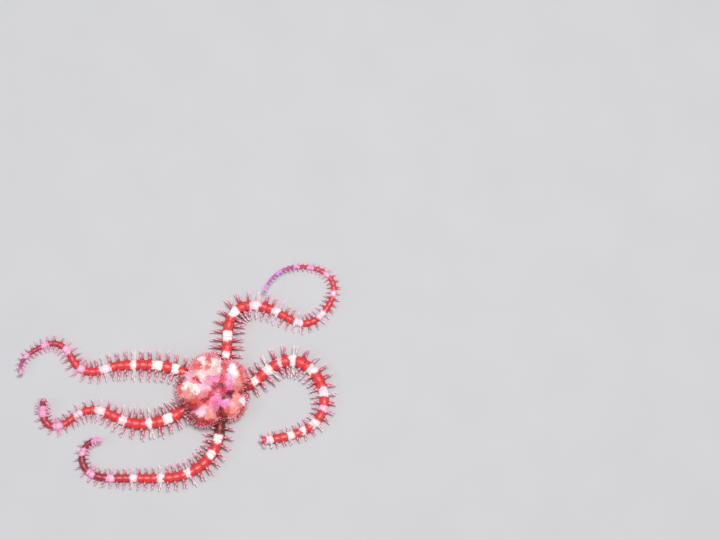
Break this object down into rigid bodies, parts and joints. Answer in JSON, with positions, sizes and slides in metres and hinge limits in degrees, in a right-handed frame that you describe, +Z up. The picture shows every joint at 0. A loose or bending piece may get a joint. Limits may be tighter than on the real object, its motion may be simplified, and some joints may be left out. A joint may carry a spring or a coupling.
{
  "type": "brittle star",
  "caption": "Life-size banded brittle star lying flat: lobed disc over a jawed mouth, long spiny arms that wind and curl up at their tips.",
  "frame": {"origin": "middle of the whole star's footprint, on the surface it lies on", "axes": "+Z up; +X along the long way of the footprint, towards the two arms that curl back on the right in the picture; +Y towards the looped arm at the top of the picture"},
  "size_m": [0.09, 0.0644, 0.0066],
  "materials": {
    "disc_skin": "moist granular skin, pink and cream with red and maroon blotches",
    "arm_plate": "moist overlapping calcite plates, orange-red with white bands, and pinkish-white spines",
    "jaw_plate": "moist calcite, pale cream"
  },
  "bodies": {
    "root": {"arm_1_length_1": "arm_plate", "arm_1_length_2": "arm_plate", "arm_1_length_3": "arm_plate", "arm_1_length_4": "arm_plate", "arm_2_length_1": "arm_plate", "arm_2_length_2": "arm_plate", "arm_2_length_3": "arm_plate", "arm_2_length_4": "arm_plate", "arm_3_length_1": "arm_plate", "arm_3_length_2": "arm_plate", "arm_3_length_3": "arm_plate", "arm_3_length_4": "arm_plate", "arm_3_length_5": "arm_plate", "arm_4_length_1": "arm_plate", "arm_4_length_2": "arm_plate", "arm_4_length_3": "arm_plate", "arm_4_length_4": "arm_plate", "arm_4_length_5": "arm_plate", "arm_5_length_1": "arm_plate", "arm_5_length_2": "arm_plate", "arm_5_length_3": "arm_plate", "arm_5_length_4": "arm_plate", "arm_5_length_5": "arm_plate", "arm_5_length_6": "arm_plate", "disc": "disc_skin", "jaw_1": "jaw_plate", "jaw_2": "jaw_plate", "jaw_3": "jaw_plate", "jaw_4": "jaw_plate", "jaw_5": "jaw_plate"}
  },
  "joints": []
}
